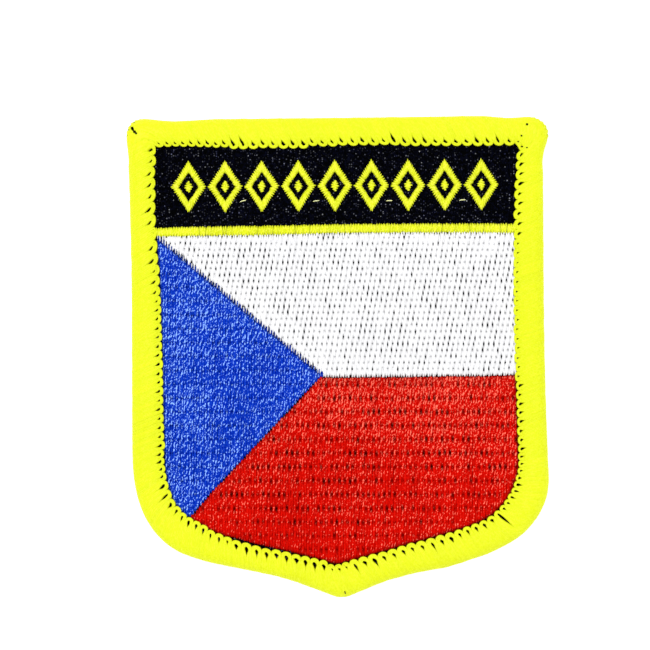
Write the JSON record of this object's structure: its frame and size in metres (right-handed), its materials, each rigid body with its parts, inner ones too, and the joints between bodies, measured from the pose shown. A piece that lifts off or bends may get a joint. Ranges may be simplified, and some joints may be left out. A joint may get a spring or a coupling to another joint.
{
  "type": "iron-on patch",
  "caption": "Flat shield-shaped embroidered patch with a thick overlocked border, a stitched flag design and a glue-coated back.",
  "frame": {"origin": "centre of the patch's outline on the glue face, which lies on z = 0", "axes": "+X to the shield's right as seen from the stitched face, +Y up the shield, +Z out of the stitched face"},
  "size_m": [0.0618, 0.0708, 0.0027],
  "materials": {
    "glue_film": "waxy translucent heat-seal film",
    "black_twill": "stiffened twill weave",
    "white_thread": "glossy rayon embroidery thread",
    "red_thread": "glossy rayon embroidery thread",
    "blue_thread": "glossy rayon embroidery thread",
    "yellow_thread": "glossy rayon embroidery thread",
    "border_yarn": "soft textured overlock yarn"
  },
  "bodies": {
    "root": {"iron_on_backing": "glue_film", "twill_ground": "black_twill", "white_field": "white_thread", "red_field": "red_thread", "blue_field": "blue_thread", "divider": "yellow_thread", "merrowed_border": "border_yarn", "lozenge_1": "yellow_thread", "lozenge_2": "yellow_thread", "lozenge_3": "yellow_thread", "lozenge_4": "yellow_thread", "lozenge_5": "yellow_thread", "lozenge_6": "yellow_thread", "lozenge_7": "yellow_thread", "lozenge_8": "yellow_thread", "lozenge_9": "yellow_thread", "lozenge_heart_1": "yellow_thread", "lozenge_heart_2": "yellow_thread", "lozenge_heart_3": "yellow_thread", "lozenge_heart_4": "yellow_thread", "lozenge_heart_5": "yellow_thread", "lozenge_heart_6": "yellow_thread", "lozenge_heart_7": "yellow_thread", "lozenge_heart_8": "yellow_thread", "lozenge_heart_9": "yellow_thread"}
  },
  "joints": []
}
